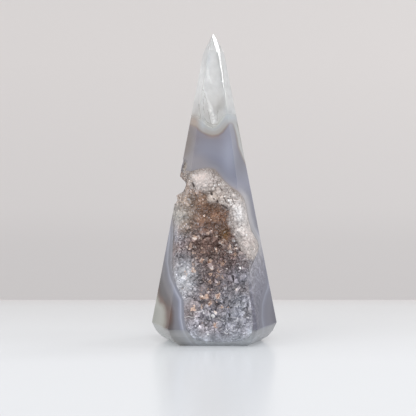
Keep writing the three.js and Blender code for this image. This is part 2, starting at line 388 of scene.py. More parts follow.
def hand_ground(faces):
    """Sides a hair wider; each face of the chamfer becomes three that bow outward."""
    made = []
    for normal, reach in faces:
        if not DOWNWARD < normal[2] < -UPRIGHT:
            made.append((normal, reach + OUTSET * (abs(normal[2]) < UPRIGHT)))
            continue
        level = math.hypot(normal[0], normal[1])
        outward = np.array((normal[0] / level, normal[1] / level, 0))
        made.append((normal, reach + BOW_RISE))
        for height, turn in ((CHAMFER_TOP, -BOW_TILT), (0, BOW_TILT)):
            edge = outward * (reach - normal[2] * height) / level + (0, 0, height)
            tilt = math.asin(-normal[2]) + turn
            turned = outward * math.cos(tilt) - (0, 0, math.sin(tilt))
            made.append((turned, turned @ edge))
    return made


stone_planes = hand_ground(stone_faces())
front_planes = [(n, reach) for n, reach in stone_planes if n[1] < -0.05]


def front_face(x, z):
    """y of the front-most stone at x and z."""
    return np.max([(reach - n[0] * x - n[2] * z) / n[1] for n, reach in front_planes], axis=0)


def inside_depth(points):
    """How far points lie below the nearest polished face."""
    return np.min([reach - points @ n for n, reach in stone_planes], axis=0)


def held_inside(points, gap, rounds):
    """Points moved back wherever they come nearer than gap to a polished face."""
    for _ in range(rounds):
        for n, reach in stone_planes:
            points = points - np.maximum(points @ n - (reach - gap), 0)[:, None] * n
    return points


# ---------- the pocket's shape ----------

MOUTH_SEGMENTS = 176
POCKET_RINGS = 40
mouth = rounded_outline(MOUTH, MOUTH_SEGMENTS) - POCKET_CENTRE


def foot_share(x, z):
    """1 low on the left and along the foot, where polishing has cut into the crystals."""
    return np.clip(patches(x, z, (1, -8.5, 9.0, 6.0, 8.0), (1, 4.0, 2.0, 14, 2.6)), 0, 1)


def steepness(x, z):
    """1 where the wall is steep (upper right), 0 where the floor ramps out to the foot."""
    degrees = np.degrees(np.arctan2(z - POCKET_CENTRE[1], x - POCKET_CENTRE[0]))
    left = 0.35 * smoothstep(np.abs(degrees), 105, 165)
    return np.maximum(smoothstep(degrees, -35, 15) * (1 - smoothstep(degrees, 105, 165)), left)


def bed_depth(x, z, share):
    """Depth of the crystal bed below the front, at a share of the way out to the mouth."""
    inward = np.maximum(1 - share, 0)
    shelf = SHELF_DROP * np.minimum(inward / RIM_WIDTH, 1)
    wall = smoothstep((LIP - share) / LIP_WIDTH, 0, 1)
    steep = shelf + wall * (POCKET_DEPTH * (0.72 + 0.28 * inward) - SHELF_DROP)
    ramp_depth = POCKET_DEPTH * inward ** 1.05
    place = np.stack([x, np.zeros_like(x), z], 1)
    lumps = 1.0 * noise_at(place, 0.21, (4, 2, 1)) + 0.6 * noise_at(place, 0.5, (9, 1, 7))
    lumps += 0.35 * noise_at(place, 1.1, (3, 8, 5))
    depth = ramp_depth + (steep - ramp_depth) * steepness(x, z)
    depth += lumps * smoothstep(inward, 0, 0.25)
    return depth * (1 - 0.75 * foot_share(x, z)) - patches(x, z, (0.7, -3.6, 53.4, 3.4, 2.6))


def ring_points(inset, deeper_rim, deeper_centre):
    """Rings of points on the bed, from the mouth to the centre, moved back by deeper."""
    length = np.linalg.norm(mouth, axis=1, keepdims=True)
    outline = mouth * (length - inset) / length
    shares = 1 - np.arange(POCKET_RINGS) / POCKET_RINGS
    plan = np.concatenate([outline * s for s in shares] + [np.zeros((1, 2))]) + POCKET_CENTRE
    share = np.append(np.repeat(shares, MOUTH_SEGMENTS), 0)
    x, z = plan.T
    deeper = deeper_centre + (deeper_rim - deeper_centre) * share
    return np.stack([x, front_face(x, z) + bed_depth(x, z, share) + deeper, z], 1)


def ring_faces(start=0, flip=False):
    """Quads between rings and a fan at the last point. They face +Y unless flipped."""
    n = MOUTH_SEGMENTS
    faces = []
    for ring in range(POCKET_RINGS - 1):
        for i in range(n):
            a = start + ring * n + i
            b = start + ring * n + (i + 1) % n
            faces.append((a, a + n, b + n, b))
    last = start + (POCKET_RINGS - 1) * n
    faces += [(last + i, last + n, last + (i + 1) % n) for i in range(n)]
    return [tuple(reversed(f)) for f in faces] if flip else faces


def side_faces(first):
    """Quads from the outermost ring to another ring that starts at first."""
    n = MOUTH_SEGMENTS
    return [(i, (i + 1) % n, first + (i + 1) % n, first + i) for i in range(n)]


def pocket_cutter():
    back = ring_points(0, CRUST_RIM + CLEARANCE, CRUST_DEEP + CLEARANCE)
    front = back[:MOUTH_SEGMENTS].copy()
    front[:, 1] = FRONT_REACH
    first = len(back)
    faces = ring_faces(flip=True) + side_faces(first)
    faces.append(tuple(range(first, first + MOUTH_SEGMENTS)))
    return new_object("cutter", mesh_from("cutter", np.concatenate([back, front]), faces))


def bite_cutter(bite, grow_by):
    points, faces = ball(4)
    swell = noise_at(points, 1.9, (bite["seed"], 0, 0)) + 0.4 * noise_at(points, 6, (0, 5, 1))
    reach = np.array(bite["radii"]) * (1 + BITE_ROUGHNESS * swell[:, None]) + grow_by
    return new_object("bite", mesh_from("bite", points * reach + bite["at"], faces))


def from_bite(bite, points):
    """Points seen from the middle of a chip, with its radii as the units."""
    return (points - np.array(bite["at"])) / np.array(bite["radii"])


def cut(piece, cutter):
    """Boolean difference; the cutter is used up."""
    modifier = piece.modifiers.new("cut", "BOOLEAN")
    modifier.operation = "DIFFERENCE"
    modifier.solver = "MANIFOLD"
    modifier.object = cutter
    mesh = evaluated(piece)
    piece.modifiers.clear()
    mesh.materials.clear()
    piece.data = mesh
    bpy.data.objects.remove(cutter)


# ---------- the polished stone ----------


def ridge_facet(azimuth, tilt, through):
    """A narrow facet along a ridge: its plane, given the way it faces and a point on it."""
    a, t = math.radians(azimuth), math.radians(tilt)
    normal = np.array((math.cos(t) * math.cos(a), math.cos(t) * math.sin(a), math.sin(t)))
    return normal, normal @ np.array(through)


BLOCK_SIZE = 400  # of the block that the tower is ground from
EDGE_ROUNDING = 0.14  # what hand polishing leaves on each edge
SLICE = 1.0  # spacing of the points that carry the banding
# The ridge right of the front face carries a second polish: two slivers near the tip.
SLIVERS = [
    ridge_facet(-50, 11.7, (2.69, -5.41, 84.7)),
    ridge_facet(-50, 35.6, (1.07, -3.67, 94.2)),
]


def split(block, normal, reach, **settings):
    """Cuts a block's faces along a plane."""
    return bmesh.ops.bisect_plane(
        block, geom=block.verts[:] + block.edges[:] + block.faces[:], dist=1e-4,
        plane_co=normal * reach, plane_no=normal, **settings)


def grind(block, normal, reach):
    """Takes off whatever stands past a plane, and closes the cut with a flat face."""
    ground = split(block, normal, reach, clear_outer=True)
    rim = [e for e in ground["geom_cut"] if isinstance(e, bmesh.types.BMEdge)]
    bmesh.ops.contextual_create(block, geom=rim)


def uncut_tower():
    """A block ground down to each of the flat faces in turn, with its edges softened."""
    block = bmesh.new()
    bmesh.ops.create_cube(block, size=BLOCK_SIZE)
    for normal, reach in stone_planes:
        grind(block, normal, reach)
    bmesh.ops.remove_doubles(block, verts=block.verts, dist=1e-3)
    bmesh.ops.recalc_face_normals(block, faces=block.faces)
    bmesh.ops.bevel(
        block, geom=block.edges[:], offset=EDGE_ROUNDING, segments=2, profile=0.5,
        affect="EDGES", clamp_overlap=True)
    for normal, reach in SLIVERS:
        grind(block, normal, reach)
    return block


def polished_stone():
    """The stone in small flat pieces, whose points carry the banding, with the pocket cut in."""
    block = uncut_tower()
    low, high = (np.array(corner) / MM for corner in cad_box)
    for axis in range(3):
        for place in np.arange(low[axis] + SLICE / 2, high[axis], SLICE):
            split(block, np.eye(3)[axis], place)
    mesh = bpy.data.meshes.new("polished_agate")
    block.to_mesh(mesh)
    block.free()
    piece = new_object("polished_agate", mesh)
    cut(piece, pocket_cutter())
    for bite in BITES:
        cut(piece, bite_cutter(bite, 0))
    return piece


def banding_place(points):
    """x and z to look the bands up at: wavy, and sliding sideways towards the back."""
    x, y, z = points.T
    behind = np.maximum(y, 0)
    wave_x = 0.3 * noise_at(points, 0.12, (1, 2, 3)) + 0.12 * noise_at(points, 0.5, (7, 2, 3))
    wave_z = 0.4 * noise_at(points, 0.12, (5, 1, 8)) + 0.12 * noise_at(points, 0.5, (2, 9, 4))
    return x + 0.30 * behind + wave_x, z - 0.45 * behind + wave_z, behind


def stone_fields(points):
    """What the stone's points carry: three distances, and the strengths of its colours."""
    x, z, behind = banding_place(points)
    front = 1 - smoothstep(points[:, 1], -1, 4)
    quartz = edge_distance(x, z, QUARTZ_EDGE) + 1.3 * behind
    flank = smoothstep(x, 5.2, 6.2) * (1 - smoothstep(z, 70.0, 72.0)) * (behind == 0)
    haze = front * np.clip(patches(
        x, z, (1, 4.9, 73.2, 2.4, 2.8), (0.8, -4.0, 71.0, 0.9, 2.2),
        (0.6, -2.0, 91.5, 0.9, 4.0)), 0, 1)
    bright = front * patches(x, z, (1, -4.6, 87.0, 1.7, 10.0))
    ragged_z = z + 1.6 * noise_at(points, 0.45, (6, 2, 4))
    return {
        "quartz_mm": quartz, "cap_mm": -edge_distance(x, z, CAP_EDGE),
        "lobe_mm": -edge_distance(x, z, LOBE_EDGE) - 0.1 * behind,
        "flank": flank, "haze": 0.8 * haze,
        "clarity": (1 - flank) * (1 - 0.75 * haze) * (0.62 - 0.32 * bright),
        "upper": smoothstep(z, 34, 44), "low": smoothstep(-z, -24, -15),
        # Along the foot: the frosted quartz's bluish colour, made lighter as painted light on the
        # downward chamfer.
        "foot": 1 - smoothstep(ragged_z, 3.0, 5.6),
        # Painted light: the chamfer faces down, and is lightened as if lit through the stone.
        "chamfer": 0.6 - 0.6 * smoothstep(points[:, 2], CHAMFER_TOP - 0.4, CHAMFER_TOP + 0.4),
        # Darker towards the lower right.
        "dusk": 0.52 * smoothstep(x, 10.5, 14.5) * (1 - smoothstep(z, 22, 30)),
        "smoke": 0.85 * front * np.clip(patches(x, z, (1.2, -9.6, 64.5, 3.2, 8.5)), 0, 1),
        "rust": 0.8 * front * np.clip(patches(
            x, z, (1, -6.6, 71.8, 1.3, 2.0), (1, -14.2, 10.4, 1.1, 3.6),
            (1, -17.0, 13.6, 1.0, 1.2), (0.4, -0.8, 66.7, 2.6, 0.6)), 0, 1),
        "halo": 0.75 * smoothstep(x, 7.5, 10) * smoothstep(z, 27, 33) * (
            1 - smoothstep(quartz, 0.0, 2.2)),
        "warm": 0.45 * front * np.clip(patches(
            x, z, (1, 1.8, 77.0, 1.8, 3.6), (0.5, -5.2, 75.0, 1.8, 3.5),
            (0.7, -2.0, 74.8, 1.7, 5.0)), 0, 1),
        # Painted highlight along the ridge right of the front face.
        "glow": front * patches(x, z, (0.7, 4.8, 62.0, 2.2, 7.0)),
        "grey": front * np.clip(patches(x, z, (1.1, -5.8, 58.0, 3.8, 3.2)), 0, 0.85),
        "brightness": 1 + front * patches(
            x, z, (0.3, 7.2, 50.4, 4.0, 2.8), (-0.2, 8.2, 58.0, 2.6, 4.5),
            (-0.2, 13.5, 10.0, 3.0, 7.0), (-0.1, 9.0, 63.0, 2.0, 4.0),
            (-0.26, -15.0, 25.0, 2.2, 9.0), (-0.16, -8.0, 69.6, 1.6, 2.6),
            (-0.16, 13.0, 36.0, 1.6, 4.5), (0.14, 19.5, 10.0, 1.6, 8.0)),
        "raw": smoothstep(inside_depth(points), 0.25, 0.6),
    }


# ---------- crystals ----------

MOST_POINTS = 60.0  # tries per square millimetre, before the spacing thins them
# The five shapes of crystal: how the tip leans, how uneven its shoulders are, prism height.
CRYSTALS = [
    ((0.05, 0.0), 0.2, 0.3), ((0.3, 0.15), 0.4, 0.5), ((-0.35, 0.1), 0.3, 0.1),
    ((0.1, -0.4), 0.5, 0.7), ((-0.2, -0.25), 0.25, 0.4),
]
# Rounded milky masses on the rim: x and z, radii, depth below the front, and seed.
KNOBS = [
    ((-4.0, 53.3), (3.8, 1.9, 3.4), 1.5, 4), ((-0.3, 47.1), (2.0, 1.7, 1.8), 2.4, 7),
    ((3.9, 46.2), (2.3, 1.6, 2.0), 2.0, 2), ((8.2, 42.6), (1.7, 1.4, 2.3), 1.7, 5),
]
DRUSE_SIZES = ("Spacing", "Smallest", "Largest", "Tilt")
SHAPE_POINTS = {"crystal": 13, "lump": 42}


def crystal_shape(lean, uneven, prism):
    """A quartz crystal 2 mm across: six prism faces under a point whose faces differ."""
    angles = [math.radians(60 * k) for k in range(6)]
    foot = [(math.cos(a) * 0.9, math.sin(a) * 0.9, -1.2) for a in angles]
    rises = (1, 0, 0.8, -0.3, 0.5, -0.6)
    shoulder = [(math.cos(a), math.sin(a), prism + uneven * r) for a, r in zip(angles, rises)]
    tip = [(lean[0], lean[1], prism + 1.15)]
    faces = [(i, (i + 1) % 6, 6 + (i + 1) % 6, 6 + i) for i in range(6)]
    faces += [(6 + i, 6 + (i + 1) % 6, 12) for i in range(6)]
    faces.append((5, 4, 3, 2, 1, 0))
    return mesh_from("crystal_shape", foot + shoulder + tip, faces)


def lump_shape(seed):
    """A rounded lump of grown-together quartz, 2 mm across."""
    points, faces = ball(2)
    swell = noise_at(points, 1.1, (seed, 0, 0))[:, None]
    mesh = mesh_from("lump_shape", points * (1 + 0.35 * swell), faces)
    mesh.shade_smooth()
    return mesh


def milky_knob(at, radii, below, seed):
    """A rounded mass of milky quartz on the rim."""
    points, faces = ball(4)
    swell = noise_at(points, 1.3, (seed, 0, 0)) + 0.4 * noise_at(points, 4.0, (0, 3, 0))
    x, z = at
    middle = (x, front_face(np.array([x]), np.array([z]))[0] + below, z)
    mesh = mesh_from("milky_knob", points * (1 + 0.16 * swell[:, None]) * radii + middle, faces)
    mesh.shade_smooth()
    return mesh


def collected(name, meshes):
    """A collection of shapes to scatter, kept in the order of their names."""
    made = bpy.data.collections.new(name)
    scene.collection.children.link(made)
    for i, mesh in enumerate(meshes):
        made.objects.link(bpy.data.objects.new(f"{name}_{i}", mesh))
    return made


def discard(shapes, tree):
    for shape in list(shapes.objects):
        bpy.data.objects.remove(shape)
    bpy.data.collections.remove(shapes)
    bpy.data.node_groups.remove(tree)


def turned_by_chance(tree, seed, tilt, normal):
    """Stands a crystal on the surface, leaning by up to tilt and spun about its length."""
    back = add(tree, "Math", (tilt, -1.0), operation="MULTIPLY")
    low = add(tree, "CombineXYZ", (back, back, back))
    high = add(tree, "CombineXYZ", (tilt, tilt, tilt))
    lean = add(tree, "FunctionNodeRandomValue", {
        0: low, 1: high, "Seed": seed}, data_type="FLOAT_VECTOR")
    leaning = add(tree, "VectorMath", (normal, lean), operation="ADD")
    upright = add(tree, "FunctionNodeAlignRotationToVector", {"Vector": leaning}, axis="Z")
    spin_seed = add(tree, "Math", (seed, 17.0), operation="ADD")
    spin = add(tree, "FunctionNodeRandomValue", {
        2: 0.0, 3: math.tau, "Seed": spin_seed}, out=1, data_type="FLOAT")
    turn = add(tree, "FunctionNodeAxisAngleToRotation", {"Axis": (0, 0, 1), "Angle": spin})
    return add(tree, "FunctionNodeRotateRotation", {
        "Rotation": upright, "Rotate By": turn}, rotation_space="LOCAL")


def sized_by_chance(tree, seed, smallest, largest_size):
    """Few crystals are large, because the chance is squared."""
    size_seed = add(tree, "Math", (seed, 31.0), operation="ADD")
    chance = add(tree, "FunctionNodeRandomValue", {
        2: 0.0, 3: 1.0, "Seed": size_seed}, out=1, data_type="FLOAT")
    few_large = add(tree, "Math", (chance, 2.0), operation="POWER")
    return add(tree, "MapRange", (few_large, 0.0, 1.0, smallest, largest_size))


def druse_tree(shapes, material):
    """Nodes that scatter a shape over a surface, by the DRUSE_SIZES and a seed."""
    tree = bpy.data.node_groups.new("druse", "GeometryNodeTree")
    sockets = [("Geometry", "INPUT", "Geometry"), ("Geometry", "OUTPUT", "Geometry")]
    sockets += [(name, "INPUT", "Float") for name in DRUSE_SIZES] + [("Seed", "INPUT", "Int")]
    for name, way, kind in sockets:
        tree.interface.new_socket(name, in_out=way, socket_type="NodeSocket" + kind)
    given = add(tree, "NodeGroupInput").node.outputs
    seed = given["Seed"]
    points = add(tree, "GeometryNodeDistributePointsOnFaces", {
        "Mesh": given["Geometry"], "Distance Min": given["Spacing"], "Density Max": MOST_POINTS,
        "Seed": seed}, distribute_method="POISSON")
    chosen = add(tree, "GeometryNodeCollectionInfo", {
        "Collection": shapes, "Separate Children": True, "Reset Children": True})
    placed = add(tree, "GeometryNodeInstanceOnPoints", {
        "Points": points, "Instance": chosen, "Pick Instance": True,
        "Rotation": turned_by_chance(tree, seed, given["Tilt"], points.node.outputs["Normal"]),
        "Scale": sized_by_chance(tree, seed, given["Smallest"], given["Largest"])})
    tone = add(tree, "FunctionNodeRandomValue", {
        2: 0.0, 3: 1.0, "Seed": seed}, out=1, data_type="FLOAT")
    toned = add(tree, "GeometryNodeStoreNamedAttribute", {
        "Geometry": placed, "Name": "tone", "Value": tone}, data_type="FLOAT", domain="INSTANCE")
    real = add(tree, "GeometryNodeRealizeInstances", {"Geometry": toned})
    add(tree, "NodeGroupOutput", (
        add(tree, "GeometryNodeSetMaterial", {"Geometry": real, "Material": material}),))
    return tree


def grow(surface, tree, sizes, seed):
    """The crystals that the tree grows on a surface, as a plain mesh; the surface is used up."""
    values = dict(zip(DRUSE_SIZES, sizes), Seed=seed)
    modifier = surface.modifiers.new("druse", "NODES")
    modifier.node_group = tree
    for item in tree.interface.items_tree:
        if item.in_out == "INPUT" and item.name in values:
            modifier[item.identifier] = values[item.name]
    mesh = evaluated(surface)
    bpy.data.objects.remove(surface)
    return mesh


def without_chipped(mesh, group):
    """Drops the crystals, of group points each, that stood where the edge has chipped away."""
    whole = bmesh.new()
    whole.from_mesh(mesh)
    whole.verts.ensure_lookup_table()
    middles = points_of(mesh).reshape(-1, group, 3).mean(axis=1)
    lost = np.any([np.linalg.norm(from_bite(bite, middles), axis=1) < 1 for bite in BITES], axis=0)
    doomed = [v for k in np.nonzero(lost)[0] for v in whole.verts[k * group:(k + 1) * group]]
    bmesh.ops.delete(whole, geom=doomed, context="VERTS")
    whole.to_mesh(mesh)
    whole.free()


def shape_to_stone(mesh):
    """Grinds whatever stands past a polished face back to it, and opens the chips.

    Each crystal stops at its own hair's breadth below the face, so none share a plane.
    """
    points = points_of(mesh)
    for bite in BITES:
        off = from_bite(bite, points)
        reach = np.linalg.norm(off, axis=1, keepdims=True)
        edge = 1 + BITE_ROUGHNESS * noise_at(off / reach, 1.9, (bite["seed"], 0, 0))[:, None]
        opened = np.array(bite["at"]) + off / reach * edge * np.array(bite["radii"])
        points = np.where(reach < edge, opened, points)
    points = held_inside(points, 0.01 + 0.05 * numbers_of(mesh, "tone"), 2)
    mesh.vertices.foreach_set("co", points.ravel())
    mesh.update()


def mouth_share(x, z):
    """0 at the pocket's centre, 1 at its mouth."""
    dx, dz = x - POCKET_CENTRE[0], z - POCKET_CENTRE[1]
    turn = np.arctan2(mouth[:, 1], mouth[:, 0])
    order = np.argsort(turn)
    reach = np.linalg.norm(mouth, axis=1)[order]
    return np.hypot(dx, dz) / np.interp(np.arctan2(dz, dx), turn[order], reach, period=math.tau)


def bed_colours(x, z, coarse, rim, pink, scar):
    """How strongly each colour shows on the bed, by place."""
    brown = patches(x, z, (1, -2.5, 45.0, 8.0, 8.0), (0.7, 3, 38, 9, 7)) + scar
    dark = patches(
        x, z, (1, 0.5, 27.5, 9.5, 7.5), (0.4, 5, 35, 3.5, 5), (0.5, -1.5, 20.0, 6.0, 7.5),
        (0.5, -12, 30, 3, 4), (0.5, -4.6, 35.0, 3.0, 3.0), (1, -7.4, 13.2, 2.8, 4.4),
        (0.5, -3.2, 30, 5, 7))
    frost = 0.7 * smoothstep(-z, -7, -2) * (1 - patches(x, z, (0.7, 2.0, 4.6, 3.6, 2.6)))
    frost += patches(x, z, (1.2, -9.0, 21.8, 3.3, 5.0), (0.4, 8, 11.5, 5, 6))
    frost = np.maximum(np.clip(frost, 0, 1), patches(x, z, (1, 11.6, 4.6, 1.6, 2.0)))
    rust = patches(x, z, (1, -1.6, 19.5, 8.0, 12.0), (0.8, -3.8, 32.0, 8.0, 3.2))
    return {
        "brown": np.clip(brown * 1.5 + 0.3 * coarse, 0, 1) * (1 - rim) * (1 - pink),
        "dark": np.clip(dark * 1.1 + 0.4 * coarse * (dark > 0.2), 0, 1) * (1 - rim),
        "frost": frost,
        "rust": np.clip(1.3 * rust - 0.25 + 0.3 * coarse, 0, 0.75) * (1 - rim),
        "cool": smoothstep(-z, -32, -22),
        "amber": patches(x, z, (0.7, 3.4, 35.2, 1.3, 1.8), (0.35, -0.6, 47.0, 3.6, 2.6)),
        # Painted light on the inner slope of the rim at the right, which faces down and to the
        # left, and a fainter whitening low on the left.
        "snow": patches(x, z, (1, 8.2, 42.2, 2.1, 3.4), (0.4, -9.0, 22.0, 3.2, 5.0)),
        "shell": patches(x, z, (1.3, -11.0, 42.3, 4.0, 4.2)),
    }


def rim_edge(x, z, fine, ragged):
    """1 on the brown-grey fringe along the top of the mouth, and on stains below it."""
    veined = smoothstep(x + ragged, -14, -10) * smoothstep(z, 43, 50)
    fringe = smoothstep(edge_distance(x + fine, z + ragged, MOUTH), -1.8, -0.5) * veined
    return np.max([fringe] + [patches(x, z, stain) for stain in (
        (1.0, 0.3, 55.2, 2.6, 2.0), (0.9, 1.8, 52.4, 2.4, 1.9), (0.8, 1.4, 50.8, 3.2, 2.0),
        (0.7, 3.8, 49.6, 2.4, 1.6), (0.4, 3.2, 47.0, 1.6, 1.2), (0.7, 2.4, 44.2, 2.2, 1.8),
        (0.6, -3.6, 56.4, 4.0, 1.2), (0.4, 9.8, 43.6, 1.6, 4.0), (0.4, 9.0, 49.0, 1.6, 2.0),
        (0.5, 11.0, 30.0, 2.4, 3.2), (0.7, -7.4, 50.4, 1.4, 1.6))], axis=0)


def druse_fields(mesh):
    """What the crystals carry: the strengths of their colours, and where their painted
    face-by-face light is calmed.
    """
    points = points_of(mesh)
    x, _, z = points.T
    coarse = noise_at(points, 0.25, (3, 1, 2))
    fine = noise_at(points, 0.8, (3, 1, 2))
    ragged = noise_at(points, 1.7, (2, 6, 1))
    inward = edge_distance(x + 1.1 * fine + 0.5 * ragged, z + 1.2 * coarse, FROSTED_RIM)
    rim = 1 - smoothstep(inward, -0.4, 0.5)
    pink = patches(x, z, (1, -4.2, 53.8, 3.2, 3.2), (0.6, 10.4, 34.0, 2.2, 4.0))
    scar = patches(x, z, (1, -9.0, 54.6, 2.2, 4.2))
    tooth = patches(x, z, (1, -0.4, 47.2, 2.2, 2.0))
    beige = patches(x, z, (1, -9.0, 46.4, 4.4, 4.5), (0.7, -9.0, 37.5, 2.2, 2.8))
    made = bed_colours(x, z, coarse, rim, pink, scar)
    made |= {
        "milk": np.clip(rim * (0.7 + 0.6 * coarse) + pink + tooth, 0, 1) * (1 - scar),
        "pink": pink, "scar": scar, "beige": np.maximum(beige, 0.8 * rim),
        "edge": rim_edge(x, z, fine, ragged)}
    made = {name: np.clip(values, 0, 1) for name, values in made.items()}
    milk, frost, shell = made["milk"], made["frost"], made["shell"]
    ground = 1 - smoothstep(inside_depth(points), 0.13, 0.22)
    calm = np.max([milk, ground, made["brown"], 0.85 * frost, shell], axis=0)
    made["still"] = np.maximum(0.75 * calm, 0.85 * numbers_of(mesh, "lump"))
    made["quiet"] = np.maximum(0.2 * milk, 0.7 * np.max([shell, made["pink"], frost], axis=0))
    # Where small pocks in the milky rim get painted shade.
    made["pocked"] = np.clip(0.6 * milk - made["pink"], 0, 1)
    made["section"] = ground * (0.9 - 0.7 * milk) * (1 - 0.45 * frost)
    made["edge"] = 0.85 * made["edge"]
    for name, values in made.items():
        store(mesh, name, values)
    chance = np.random.default_rng(5)
    store(mesh, "facet", chance.random(len(mesh.polygons)), "FACE")


def bed_surface(keep=None, lift=0.0):
    """The bed's surface, whole or where keep(x, z, share) holds, lifted towards the front."""
    points = ring_points(BED_INSET, 0, 0)
    x, y, z = points.T
    points[:, 1] = y + (front_face(x, z) + 0.2 - y) * lift
    faces = ring_faces(flip=True)
    if keep:
        wanted = keep(x, z, mouth_share(x, z))
        faces = [f for f in faces if all(wanted[i] for i in f)]
    return new_object("bed", mesh_from("bed", points, faces, closed=False))


def in_lower_hollow(x, z, share):
    return (z < 36) & (share < 0.85)


def above_the_foot(x, z, share):
    return z > 10


def in_rim(x, z, share):
    """The frosted upper right of the rim and the left shoulder."""
    left = patches(x, z, (1, -9.6, 46.4, 4.4, 4.8), (1, -11.5, 40.5, 3.6, 4.6))
    return (edge_distance(x, z, FROSTED_RIM) < -0.6) | (left > 0.5)


def in_polished_foot(x, z, share):
    return foot_share(x, z) > 0.55


def crust_shell():
    """The closed layer that the crystals stand on."""
    bed = ring_points(SHELL_INSET, 0, 0)
    back = ring_points(SHELL_INSET, CRUST_RIM, CRUST_DEEP)
    faces = ring_faces() + ring_faces(start=len(bed), flip=True) + side_faces(len(bed))
    shell = new_object("crust", mesh_from("crust", np.concatenate([bed, back]), faces))
    for bite in BITES:
        cut(shell, bite_cutter(bite, SHELL_INSET))
    mesh = shell.data
    bpy.data.objects.remove(shell)
    return mesh


# Layers of the druse: where, how far lifted, shape, the sizes in DRUSE_SIZES, and seed.
LAYERS = [
    (in_rim, 0.0, "lump", (1.0, 0.5, 1.2, 1.0), 14),
    (in_lower_hollow, 0.0, "crystal", (2.6, 0.6, 1.5, 0.9), 21),
    (in_polished_foot, 0.5, "crystal", (2.0, 1.2, 2.2, 0.5), 4),
    (None, 0.0, "crystal", (1.2, 0.4, 0.85, 0.9), 3),
    (above_the_foot, 0.0, "crystal", (0.65, 0.22, 0.5, 1.0), 8),
]


def crystal_layers(material):
    """Each layer as a mesh, with a note of whether it is of lumps."""
    shapes = {
        "crystal": collected("crystal", [crystal_shape(*row) for row in CRYSTALS]),
        "lump": collected("lump", [lump_shape(seed) for seed in (2, 5, 9)])}
    trees = {name: druse_tree(shapes[name], material) for name in shapes}
    made = []
    for where, lift, name, sizes, seed in LAYERS:
        mesh = grow(bed_surface(where, lift), trees[name], sizes, seed)
        without_chipped(mesh, SHAPE_POINTS[name])
        made.append((mesh, float(name == "lump")))
    for name in shapes:
        discard(shapes[name], trees[name])
    return made


def druzy_crystals(material):
    """The bed, the knobs on its rim and the layers of crystals, as one mesh."""
    solid = [crust_shell()] + [milky_knob(*row) for row in KNOBS]
    for mesh in solid:
        store(mesh, "tone", np.full(len(mesh.vertices), float(mesh is solid[0])))
    joined = bmesh.new()
    for mesh, is_lump in [(mesh, 1.0) for mesh in solid] + crystal_layers(material):
        store(mesh, "lump", np.full(len(mesh.vertices), is_lump))
        joined.from_mesh(mesh)
    mesh = bpy.data.meshes.new("druzy_crystals")
    joined.to_mesh(mesh)
    joined.free()
    shape_to_stone(mesh)
    druse_fields(mesh)
    to_metres(mesh)
    mesh.materials.clear()
    mesh.materials.append(material)
    return new_object("druzy_crystals", mesh)


# ---------- the inside of the clear tip ----------

DOME_STEP = 0.5
DOME_HEIGHTS = np.arange(58, 90, 0.4)  # heights at which the cap is looked for
DOME_THICKNESS = 0.8
DOME_CAP = 2.2  # how far inside the clear cap the dome lies
DOME_GAP = 0.15  # from the dome's rim to the polished faces


def dome_height(x, y):
    """Height at which clear quartz gives way to milky under a point of the tip."""
    line = np.array([(x, y, height) for height in DOME_HEIGHTS])
    plan_x, plan_z, _ = banding_place(line)
    milky = np.nonzero(-edge_distance(plan_x, plan_z, CAP_EDGE) < DOME_CAP)[0]
    return DOME_HEIGHTS[milky[-1] if len(milky) else 0]


def milky_dome(material):
    """Where clear quartz gives way to chalcedony inside the tip: a thin lens, closed."""
    low, high = (np.array(corner) / MM for corner in cad_box)
    columns = {}
    upper = []
    for i, x in enumerate(np.arange(low[0], high[0], DOME_STEP)):
        for j, y in enumerate(np.arange(low[1], high[1], DOME_STEP)):
            top = dome_height(x, y)
            if inside_depth(np.array([[x, y, top - DOME_THICKNESS]]))[0] > 0:
                columns[i, j] = len(upper)
                upper.append((x, y, top))
    count = len(upper)
    corners = [[columns.get(k) for k in ((i, j), (i + 1, j), (i + 1, j + 1), (i, j + 1))]
               for i, j in columns]
    faces = [tuple(c) for c in corners if None not in c]
    used = {pair for face in faces for pair in zip(face, face[1:] + face[:1])}
    walls = [(b, a, a + count, b + count) for a, b in sorted(used) if (b, a) not in used]
    faces += [tuple(i + count for i in reversed(face)) for face in faces] + walls
    lower = np.array(upper) - (0, 0, DOME_THICKNESS)
    mesh = mesh_from("milky_dome", np.concatenate([upper, lower]), faces)
    mesh.vertices.foreach_set("co", held_inside(points_of(mesh), DOME_GAP, 3).ravel())
    mesh.shade_smooth()
    to_metres(mesh)
    mesh.materials.append(material)
    return new_object("milky_dome", mesh)


# ---------- patterns for the materials ----------


def new_material(name):
    """A material, its empty node tree and the Object coordinates in it."""
    material = bpy.data.materials.new(name)
    material.use_nodes = True
    tree = material.node_tree
    tree.nodes.clear()
    return material, tree, add(tree, "TexCoord", out="Object")


def surfaced(tree, inputs):
    """Ends a tree in one principled surface."""
    add(tree, "OutputMaterial", {"Surface": add(tree, "BsdfPrincipled", inputs)})


def sized(place, size, detail, **more):
    """Inputs of a noise whose blotches are about size millimetres across."""
    return {"Vector": place, "Scale": 1 / (size * MM), "Detail": detail, **more}


def fields(tree, names):
    """Numbers that a mesh carries, by their names."""
    return [add(tree, "Attribute", out="Fac", attribute_name=name) for name in names.split()]


def product(tree, *values):
    """All the values multiplied together."""
    return reduce(lambda a, b: add(tree, "Math", (a, b), operation="MULTIPLY"), values)


def largest(tree, *values):
    """The largest of the values, which joins masks."""
    return reduce(lambda a, b: add(tree, "Math", (a, b), operation="MAXIMUM"), values)


def layered(tree, base, *layers):
    """Colours laid over a base in turn, each given after the share that it covers."""
    for share, shade in layers:
        base = add(tree, "Mix", {0: share, 6: base, 7: shade}, out=2, data_type="RGBA")
    return base


def shaded(tree, base, *shades):
    """A colour made lighter or darker by each of the shades in turn."""
    for shade in shades:
        base = add(tree, "Mix", {0: 1.0, 6: base, 7: shade}, out=2, data_type="RGBA",
                   blend_type="MULTIPLY")
    return base


